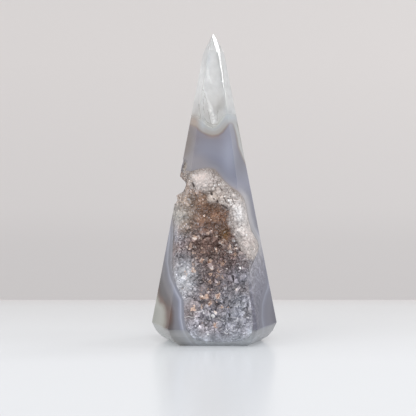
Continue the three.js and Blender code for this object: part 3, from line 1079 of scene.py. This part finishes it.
def ramp(tree, value, low, high, stops):
    """Colours laid out along a value, between two of its values."""
    scaled = add(tree, "MapRange", (value, low, high))
    places = [((at - low) / (high - low), shade) for at, shade in stops]
    return add(tree, "ValToRGB", (scaled,), places)


def pushed(tree, start, place, size, detail, reach):
    """A point pushed about by noise, whose size is in millimetres, by half of reach."""
    drift = add(tree, "TexNoise", sized(place, size, detail), out=1)
    centred = add(tree, "VectorMath", (drift, (0.5, 0.5, 0.5)), operation="SUBTRACT")
    return add(tree, "VectorMath", (centred, reach, start), operation="MULTIPLY_ADD")


def seen_from_front(tree, place, waver):
    """x and z of a point in millimetres, wavering by noise, with y left out."""
    flat = add(tree, "VectorMath", (place, (1 / MM, 0, 1 / MM)), operation="MULTIPLY")
    return pushed(tree, flat, place, 0.9, 2.0, (2 * waver, 0, 2 * waver))


def away_from(tree, flat, at):
    return add(tree, "VectorMath", (flat, (at[0], 0, at[1])), out="Value", operation="DISTANCE")


def on_spots(tree, flat, spots):
    """1 on round spots, each given by its middle and radius."""
    return largest(tree, *(
        add(tree, "MapRange", (away_from(tree, flat, at), 0.6 * radius, radius, 1.0, 0.0))
        for at, radius in spots))


def on_lines(tree, flat, lines):
    """1 along straight strokes, each given by its ends and half width."""
    masks = []
    for start, end, half in lines:
        side = (end[0] - start[0], 0, end[1] - start[1])
        length = math.hypot(side[0], side[2])
        unit = tuple(c / length for c in side)
        off = add(tree, "VectorMath", (flat, (start[0], 0, start[1])), operation="SUBTRACT")
        along = add(tree, "VectorMath", (off, unit), out="Value", operation="DOT_PRODUCT")
        share = add(tree, "MapRange", (along, 0, length))
        nearest = add(tree, "VectorMath", {0: side, 3: share}, operation="SCALE")
        away = add(tree, "VectorMath", (off, nearest), out="Value", operation="DISTANCE")
        masks.append(add(tree, "MapRange", (away, 0.5 * half, 1.3 * half, 1.0, 0.0)))
    return largest(tree, *masks)


def curls(tree, place, size, width, strength):
    """Thin curling lines, such as healed cracks leave in a crystal."""
    drift = add(tree, "TexNoise", sized(place, size, 1.0, Distortion=1.6))
    centred = add(tree, "Math", (drift, 0.5), operation="SUBTRACT")
    off = add(tree, "Math", (centred,), operation="ABSOLUTE")
    return add(tree, "MapRange", (off, 0.3 * width, width, strength, 0.0))


def growth_zones(tree, place):
    """Brightness of a polished section of coarse quartz: growth lines, clouds and threads."""
    drift = add(tree, "TexNoise", sized(place, 4.0, 2.0, Distortion=0.8))
    lines = add(tree, "Math", (product(tree, drift, 34.0),), operation="SINE")
    cloud = add(tree, "TexNoise", sized(place, 1.6, 4.0, Roughness=0.65))
    threads = curls(tree, place, 2.2, 0.03, 0.45)
    return product(
        tree, add(tree, "MapRange", (lines, 0.0, 1.0, 0.88, 1.2)),
        add(tree, "MapRange", (cloud, 0.32, 0.68, 0.66, 1.35)),
        add(tree, "Math", (1.0, threads), operation="ADD"))


def with_rosettes(tree, base, flat):
    """A colour with the crystals' growth rings drawn on it."""
    share = 9.0
    for at, radius in ROSETTES:
        ring = product(tree, away_from(tree, flat, at), 1 / radius)
        share = add(tree, "Math", (ring, share), operation="MINIMUM")
    rings = ramp(tree, share, 0, 1.3, [
        (0.0, 1.0), (0.3, 0.8), (0.45, 1.25), (0.6, 0.75), (0.85, 1.2), (1.0, 1.7),
        (1.12, 0.65), (1.3, 1.0)])
    ringed = add(tree, "MapRange", (share, 1.0, 1.3, 0.6, 0.0))
    return layered(tree, base, (ringed, shaded(tree, base, rings)))


# ---------- the polished stone's material ----------


def chalcedony(tree):
    """Lavender bands by distance from the quartz, in millimetres."""
    quartz, upper = fields(tree, "quartz_mm upper")
    low_bands = ramp(tree, quartz, 0, 14, [
        (0.0, "#82848f"), (0.5, "#82848f"), (0.9, "#a3a6b4"), (1.4, "#888b99"),
        (2.0, "#7a7b85"), (3.4, "#75747a"), (4.6, "#5a585c"), (6.5, "#524f53"),
        (9.0, "#6c6b73"), (14.0, "#7d7d86")])
    high_bands = ramp(tree, quartz, 0, 14, [
        (0.0, "#8a837f"), (0.35, "#88838a"), (0.9, "#82838c"), (1.8, "#7a7b87"),
        (3.4, "#7a7c8b"), (5.2, "#818391"), (7.5, "#82838f"), (10.0, "#7e7c87"),
        (14.0, "#82808a")])
    return layered(tree, low_bands, (upper, high_bands))


def coarse_quartz(tree, place, flat):
    """Coarse quartz near the pocket, cut through: growth lines, clouds and rings."""
    low, upper, foot = fields(tree, "low upper foot")
    # Bluish and lighter along the foot: the frosted quartz's colour, and painted light on the
    # downward chamfer.
    grain = layered(
        tree, "#908f97", (low, "#7d7c87"), (upper, "#958e8a"), (foot, "#959ca7"))
    return with_rosettes(tree, shaded(tree, grain, growth_zones(tree, place)), flat)


def stone_body(tree, place, flat):
    """The stone below its cap: quartz and bands, the lobe, the chamfer's painted light, a painted
    ridge highlight, and what clouds, lightens or darkens them.
    """
    quartz, lobe, dusk, chamfer, halo, smoke, glow, grey, brightness = fields(
        tree, "quartz_mm lobe_mm dusk chamfer halo smoke glow grey brightness")
    # A pale lobe outside a dark brown band.
    lobe_bands = ramp(tree, lobe, -2, 4, [
        (-2.0, "#535053"), (-1.0, "#4a4445"), (-0.3, "#5b4b45"), (0.4, "#88827a"),
        (1.2, "#a0a099"), (2.2, "#a6a7a1"), (4.0, "#9c9e98")])
    # Painted light on the downward chamfer and a painted highlight along the ridge are laid in
    # with the colours.
    body = layered(
        tree, chalcedony(tree),
        (add(tree, "MapRange", (quartz, -0.4, 0.1, 1.0, 0.0)), coarse_quartz(tree, place, flat)),
        (dusk, "#55576a"), (add(tree, "MapRange", (lobe, -2.6, -1.2)), lobe_bands),
        (chamfer, "#a9aaaa"), (halo, "#b3b1b4"), (smoke, "#776d66"), (glow, "#989dae"),
        (grey, "#8d8a8f"))
    return shaded(tree, body, brightness)


def with_cap(tree, place, body):
    """The clear cap over a cream band with a thin brown line under it, and its clouds."""
    cap, flank, upper, rust, haze, warm = fields(tree, "cap_mm flank upper rust haze warm")
    front_bands = ramp(tree, cap, -1, 4, [
        (-1.0, "#7d7a87"), (-0.35, "#7a7077"), (0.0, "#847874"), (0.5, "#9b9894"),
        (1.3, "#a09e9c"), (2.0, "#a8abad"), (3.0, "#dddeda"), (4.0, "#f0f2f2")])
    flank_bands = ramp(tree, cap, -1, 4, [
        (-1.0, "#7f7e8c"), (-0.3, "#807b7c"), (0.0, "#8f8a88"), (0.3, "#a9aaaa"),
        (0.9, "#abacaa"), (1.3, "#8a8983"), (2.0, "#807f79"), (4.0, "#868882")])
    billows = add(tree, "TexNoise", sized(place, 2.2, 4.0))
    base = layered(
        tree, body,
        (add(tree, "MapRange", (cap, -0.7, -0.1)),
         layered(tree, front_bands, (flank, flank_bands))),
        (rust, layered(tree, "#6a544c", (upper, "#a08c7d"))), (haze, "#b0b6bd"))
    cloudy = shaded(tree, base, add(tree, "MapRange", (billows, 0.35, 0.65, 0.9, 1.05)))
    return layered(
        tree, base, (add(tree, "MapRange", (cap, 2.0, 3.5)), cloudy), (warm, "#a8a097"))


def healed_fractures(tree, place, flat):
    """White veils and fine dark seams, in the front half only."""
    feathers = add(tree, "TexNoise", sized(place, 0.5, 2.0))
    depth = add(tree, "SeparateXYZ", (place,), out=1)
    near = add(tree, "MapRange", (depth, -1 * MM, 1 * MM, 1.0, 0.0))
    veils = product(tree, on_lines(tree, flat, VEILS), near,
                    add(tree, "MapRange", (feathers, 0.42, 0.56, 0.1, 0.85)))
    return veils, product(tree, on_lines(tree, flat, SEAMS), near, 0.6)


def polished_agate_material():
    """Chalcedony, sawn and tumbled to a gloss: bands follow the pocket, a waxy depth."""
    material, tree, place = new_material("polished_agate")
    cap, clarity, raw = fields(tree, "cap_mm clarity raw")
    flat = seen_from_front(tree, place, 0.35)
    veils, seams = healed_fractures(tree, place, flat)

    # Chips and the pocket's inside are not polished.
    grit = add(tree, "TexNoise", sized(place, 1.5, 3.0))
    rough_shade = add(tree, "ValToRGB", (grit,), [
        (0.3, "#7a716d"), (0.5, "#a0978f"), (0.65, "#b9b3af")])
    base = layered(
        tree, with_cap(tree, place, stone_body(tree, place, flat)),
        (veils, "#e2e2e1"), (seams, "#8f8b86"), (raw, rough_shade))

    # Flaws inside the clear part soften what is seen through it; the polish stays sharp.
    opening = add(tree, "MapRange", (cap, 1.7, 3.2))
    flawless = add(tree, "Math", (1.0, largest(tree, veils, seams)), operation="SUBTRACT")
    roughness = largest(
        tree, add(tree, "MapRange", (raw, 0, 1, 0.1, 0.55)), product(tree, opening, 0.32))
    surfaced(tree, {
        "Base Color": base, "Roughness": roughness, "IOR": 1.54, "Specular IOR Level": 0.0,
        "Transmission Weight": product(tree, opening, clarity, flawless),
        "Subsurface Weight": 0.25, "Subsurface Radius": (1.0, 1.0, 1.0),
        "Subsurface Scale": 0.002, "Coat Weight": 1.0, "Coat Roughness": 0.03})
    return material


def milky_quartz_material():
    """Milky quartz inside the tip: what the eye meets through the clear part."""
    material, tree, place = new_material("milky_quartz")
    cloud = add(tree, "TexNoise", sized(place, 2.5, 4.0))
    shade = add(tree, "ValToRGB", (cloud,), [(0.35, "#dcdbd6"), (0.65, "#f2f2f0")])
    surfaced(tree, {"Base Color": shade, "Roughness": 0.5})
    return material


# ---------- the crystals' material ----------


def crystal_colour(tree, place):
    """Grey to smoky and brown by place, milky at the rim with painted light on its inner slope, in
    soft clumps.
    """
    brown, dark, cool, frost, shell, beige, milk, pink, snow, edge, scar, amber = fields(
        tree, "brown dark cool frost shell beige milk pink snow edge scar amber")
    base = layered(
        tree, "#94939d", (brown, "#b48f77"),
        (dark, layered(tree, "#77615a", (cool, "#776b6d"))), (frost, "#b6bbc4"),
        (shell, "#a8a6a1"), (beige, "#ab998b"), (milk, "#d8d1ce"), (pink, "#d4c5bf"),
        (snow, "#efecec"), (edge, "#8a7d77"), (scar, "#958a82"), (amber, "#a8814f"))
    clumps = add(tree, "TexNoise", sized(place, 3.4, 3.0))
    spread = add(tree, "MapRange", (clumps, 0.35, 0.65, 0.62, 1.35))
    return shaded(tree, base, layered(tree, spread, (product(tree, milk, 0.7), WHITE)))


def sparkle(tree, place):
    """Painted light: every face shows another view into the crystal, so each is painted its own
    brightness, a few up to a painted glint; each crystal has its own tone, and noise paints small
    lighter and darker flecks within the faces.
    """
    facet, tone, still, quiet = fields(tree, "facet tone still quiet")
    spread = add(tree, "ValToRGB", (facet,), [
        (0.0, 0.42), (0.4, 0.8), (0.8, 1.15), (0.95, 1.6), (1.0, 2.2)])
    spread = shaded(tree, spread, add(tree, "MapRange", (tone, 0, 1, 0.75, 1.2)))
    flecks = add(tree, "TexNoise", sized(place, 0.7, 3.0, Distortion=1.5))
    flecked = add(tree, "ValToRGB", (flecks,), [
        (0.3, 0.6), (0.48, 0.95), (0.6, 1.15), (0.75, 1.7)])
    return layered(tree, spread, (still, WHITE)), layered(tree, flecked, (quiet, WHITE))


def threads_and_pock_shade(tree, place):
    """Pale threads of healed cracks, and painted shade in the small pocks of the milky part."""
    rust, milk, pocked = fields(tree, "rust milk pocked")
    thread_shade = layered(tree, "#c9ccd6", (rust, "#d0b3a2"), (milk, "#f7f5f3"))
    pocks = add(tree, "TexNoise", sized(place, 1.1, 1.0))
    deep = product(tree, add(tree, "MapRange", (pocks, 0.6, 0.68)), pocked)
    return (curls(tree, place, 1.8, 0.028, 0.5), thread_shade), (deep, "#6d5c54")


def iron_stain(tree, place):
    """Crusts of iron stain on some of the ragged cells, each face in its own tone."""
    facet, rust = fields(tree, "facet rust")
    tones = add(tree, "ValToRGB", (facet,), [
        (0.0, "#a5806d"), (0.3, "#cba995"), (0.7, "#dec6b7"), (1.0, "#f3e8e0")])
    ragged = pushed(tree, place, place, 0.8, 3.0, (2.6 * MM, 2.6 * MM, 2.6 * MM))
    away = add(tree, "TexVoronoi", {"Vector": ragged, "Scale": 1 / (2.3 * MM)}, out="Distance")
    chance = add(tree, "SeparateColor", (away.node.outputs["Color"],))
    chosen = add(tree, "Math", (chance, rust), operation="LESS_THAN")
    return product(tree, chosen, add(tree, "MapRange", (away, 0.31, 0.4, 0.9, 0.0))), tones


def druzy_quartz_material():
    """Natural quartz faces: glassy, grey to smoky, milky at the rim, rust on some, with painted
    light and shade.
    """
    material, tree, place = new_material("druzy_quartz")
    milk, section = fields(tree, "milk section")
    base = shaded(tree, crystal_colour(tree, place), *sparkle(tree, place))
    base = layered(tree, base, *threads_and_pock_shade(tree, place), iron_stain(tree, place))

    # Ground through: growth lines show in the sections.
    base = layered(tree, base, (section, shaded(tree, base, growth_zones(tree, place))))
    flat = seen_from_front(tree, place, 0.3)
    cleft_shade = product(tree, on_lines(tree, flat, CLEFT_SHADOWS), 0.8)
    # Painted highlights on single faces; painted shade in the rim's pits and in the clefts between
    # its lumps.
    base = layered(
        tree, with_rosettes(tree, base, flat),
        (product(tree, on_lines(tree, flat, CRACKS), 0.6), "#e4e2e4"),
        (on_spots(tree, flat, GLINTS), WHITE),
        (largest(tree, on_spots(tree, flat, PIT_SHADOWS), cleft_shade), "#33251f"))
    surfaced(tree, {
        "Base Color": base, "Roughness": add(tree, "MapRange", (milk, 0, 1, 0.14, 0.45)),
        "IOR": 1.55, "Subsurface Weight": 0.2, "Subsurface Radius": (1.0, 1.0, 1.0),
        "Subsurface Scale": 0.001})
    return material


# ---------- make the pieces ----------

stone = polished_stone()
for field, values in stone_fields(points_of(stone.data)).items():
    store(stone.data, field, values)
to_metres(stone.data)
stone.data.materials.append(polished_agate_material())
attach(stone, "root")
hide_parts("agate_tower")

crystals = druzy_crystals(druzy_quartz_material())
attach(crystals, "root")
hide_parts("druzy_crust")

dome = milky_dome(milky_quartz_material())
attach(dome, "root")
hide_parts("agate_tower")

# ---------- table, wall and light ----------

TABLE_BACK = 105  # the table's far edge behind the stone
TABLE_SIZE = 1400
TABLE_THICKNESS = 20
WALL_BACK = 900
WALL_SIZE = 1600


def painted_shading_finish(name, axis, low, high, stops, roughness, lit=0.0):
    """A plain finish with painted shading along one axis; lit is how far it glows by itself, a
    painted glow that is no lamp.
    """
    material, tree, place = new_material(name)
    along = add(tree, "SeparateXYZ", (place,), out=axis)
    shade = ramp(tree, along, low * MM, high * MM, [(at * MM, code) for at, code in stops])
    surfaced(tree, {
        "Base Color": layered(tree, shade, (lit, "#000000")), "Roughness": roughness,
        "Emission Color": shade, "Emission Strength": lit})
    return material


def slab(name, low, high, material):
    corners = [(x, y, z) for z in (low[2], high[2]) for x, y in (
        (low[0], low[1]), (high[0], low[1]), (high[0], high[1]), (low[0], high[1]))]
    faces = [(3, 2, 1, 0), (4, 5, 6, 7)] + [
        (i, (i + 1) % 4, 4 + (i + 1) % 4, 4 + i) for i in range(4)]
    made = new_object(name, mesh_from(name, corners, faces))
    to_metres(made.data)
    made.data.materials.append(material)


def softbox(name, place, target, size, power):
    light = bpy.data.lights.new(name, "AREA")
    light.shape = "RECTANGLE"
    light.size, light.size_y = (s * MM for s in size)
    light.energy = power
    lamp = new_object(name, light)
    lamp.location = Vector(place) * MM
    towards = (Vector(target) - Vector(place)) * MM
    lamp.rotation_euler = towards.to_track_quat("-Z", "Y").to_euler()


# Painted light: the table glows faintly by itself, lifting the shadows round the stone, and is
# painted lighter in front of the stone and darker towards its far edge.
slab("table", (-TABLE_SIZE / 2, TABLE_BACK - TABLE_SIZE, -TABLE_THICKNESS),
     (TABLE_SIZE / 2, TABLE_BACK, 0),
     painted_shading_finish("opal_acrylic", 1, -200, TABLE_BACK, [
         (-200, "#dee2e6"), (-40, "#e1e5e9"), (30, "#d7dadd"), (85, "#cdcfd1"),
         (TABLE_BACK, "#c6c4c5")], 0.24, lit=0.24))
# Painted shade: the wall is painted darker towards the bottom.
slab("wall", (-WALL_SIZE / 2, WALL_BACK, -600), (WALL_SIZE / 2, WALL_BACK + 20, 1000),
     painted_shading_finish("wall_paint", 2, -200, 400, [
         (-200, "#d3d1d1"), (-60, "#d7d5d5"), (150, "#dedbda"), (400, "#dcdad9")], 0.8))

softbox("window", (-700, -500, 800), (0, 0, 40), (700, 700), 3.2)
softbox("front_low", (0, -1000, 30), (0, 0, 40), (700, 50), 1.6)
softbox("streak_low", (601, -67, 332), (2, -5, 90), (130, 130), 0.6)
softbox("streak_high", (396, 178, 580), (0, -2, 97), (130, 130), 0.6)
softbox("wall_wash", (600, 500, 300), (600, 900, 300), (400, 400), 0.5)
softbox("front_fill", (100, -650, 800), (0, 0, 40), (400, 400), 2)

world = bpy.data.worlds.new("room")
scene.world = world
world.use_nodes = True
world.node_tree.nodes.clear()
backdrop = add(world.node_tree, "Background", {"Color": "#dad8d8", "Strength": 1.0})
add(world.node_tree, "OutputWorld", {"Surface": backdrop})
scene.view_settings.view_transform = "Standard"
